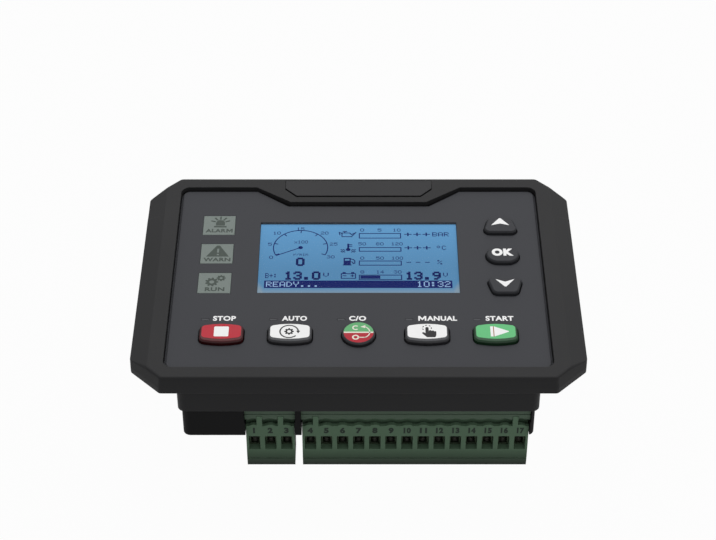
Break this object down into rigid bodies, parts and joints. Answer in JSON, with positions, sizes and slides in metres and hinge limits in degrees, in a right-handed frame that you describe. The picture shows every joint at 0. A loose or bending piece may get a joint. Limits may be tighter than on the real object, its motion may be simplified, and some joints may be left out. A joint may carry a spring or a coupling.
{
  "type": "genset controller",
  "caption": "Panel-mount genset controller: cut-corner black bezel, lit display, push keys that travel, indicator windows and pluggable green terminals.",
  "frame": {"origin": "middle of the bezel's rear face, on the plane where the unit seats on its panel", "axes": "+X to the right and +Y up the face, +Z out of the face; the unit lies on its terminals, face up"},
  "size_m": [0.139, 0.098, 0.0482],
  "materials": {
    "case_plastic": "fine moulded texture, satin black",
    "inlay_plastic": "smooth satin black",
    "gasket_rubber": "soft matt black",
    "panel_plastic": "fine matt dark grey",
    "clear_lens": "clear, polished",
    "display_cell": "even light blue, lit from behind",
    "light_guide": "milky",
    "white_plastic": "moulded white",
    "window_plastic": "translucent grey-green film",
    "pipe_plastic": "dark smoked",
    "lamp_plastic": "moulded lamp body",
    "red_key": "satin red silicone",
    "green_key": "satin green silicone",
    "grey_key": "satin dark grey silicone",
    "plunger_plastic": "moulded black",
    "switch_metal": "pressed steel",
    "board_green": "solder mask green",
    "chip_plastic": "moulded black",
    "can_aluminium": "drawn can",
    "port_metal": "plated shell",
    "screw_steel": "zinc plated",
    "header_green": "moulded green",
    "terminal_green": "moulded green",
    "pin_brass": "tinned brass",
    "cage_steel": "plated clamp"
  },
  "bodies": {
    "case": {"front_case": "case_plastic", "top_inlay": "inlay_plastic", "panel_gasket": "gasket_rubber", "face_panel": "panel_plastic", "lcd_lens": "clear_lens", "lcd_glass": "display_cell", "lcd_light_guide": "light_guide", "lcd_holder": "white_plastic", "alarm_window": "window_plastic", "warn_window": "window_plastic", "run_window": "window_plastic", "key_light_pipes": "pipe_plastic", "indicator_lamps": "lamp_plastic", "switch_bodies": "switch_metal", "display_board": "board_green", "board_spacers": "white_plastic", "board_link": "chip_plastic", "main_board": "board_green", "board_screws": "screw_steel", "relays": "chip_plastic", "processor": "chip_plastic", "capacitors": "can_aluminium", "link_port": "port_metal", "rear_cover": "case_plastic", "case_screws": "screw_steel", "power_header": "header_green", "control_header": "header_green", "voltage_header": "header_green", "current_header": "header_green", "power_plug": "terminal_green", "control_plug": "terminal_green", "voltage_plug": "terminal_green", "current_plug": "terminal_green", "header_pins": "pin_brass", "clamp_cages": "cage_steel", "terminal_screws": "screw_steel"},
    "stop_key": {"stop_key": "red_key", "stop_plunger": "plunger_plastic"},
    "auto_key": {"auto_key": "grey_key", "auto_plunger": "plunger_plastic"},
    "transfer_key": {"transfer_key": "grey_key", "transfer_plunger": "plunger_plastic"},
    "manual_key": {"manual_key": "grey_key", "manual_plunger": "plunger_plastic"},
    "start_key": {"start_key": "green_key", "start_plunger": "plunger_plastic"},
    "up_key": {"up_key": "grey_key", "up_plunger": "plunger_plastic"},
    "ok_key": {"ok_key": "grey_key", "ok_plunger": "plunger_plastic"},
    "down_key": {"down_key": "grey_key", "down_plunger": "plunger_plastic"}
  },
  "joints": [
    {"name": "stop_press", "type": "slide", "parent": "case", "child": "stop_key", "axis": [0, 0, -1], "range_m": [0, 0.0006], "stiffness_N_per_m": 1500, "springref_m": -0.0006},
    {"name": "auto_press", "type": "slide", "parent": "case", "child": "auto_key", "axis": [0, 0, -1], "range_m": [0, 0.0006], "stiffness_N_per_m": 1500, "springref_m": -0.0006},
    {"name": "transfer_press", "type": "slide", "parent": "case", "child": "transfer_key", "axis": [0, 0, -1], "range_m": [0, 0.0006], "stiffness_N_per_m": 1500, "springref_m": -0.0006},
    {"name": "manual_press", "type": "slide", "parent": "case", "child": "manual_key", "axis": [0, 0, -1], "range_m": [0, 0.0006], "stiffness_N_per_m": 1500, "springref_m": -0.0006},
    {"name": "start_press", "type": "slide", "parent": "case", "child": "start_key", "axis": [0, 0, -1], "range_m": [0, 0.0006], "stiffness_N_per_m": 1500, "springref_m": -0.0006},
    {"name": "up_press", "type": "slide", "parent": "case", "child": "up_key", "axis": [0, 0, -1], "range_m": [0, 0.0006], "stiffness_N_per_m": 1500, "springref_m": -0.0006},
    {"name": "ok_press", "type": "slide", "parent": "case", "child": "ok_key", "axis": [0, 0, -1], "range_m": [0, 0.0006], "stiffness_N_per_m": 1500, "springref_m": -0.0006},
    {"name": "down_press", "type": "slide", "parent": "case", "child": "down_key", "axis": [0, 0, -1], "range_m": [0, 0.0006], "stiffness_N_per_m": 1500, "springref_m": -0.0006}
  ]
}
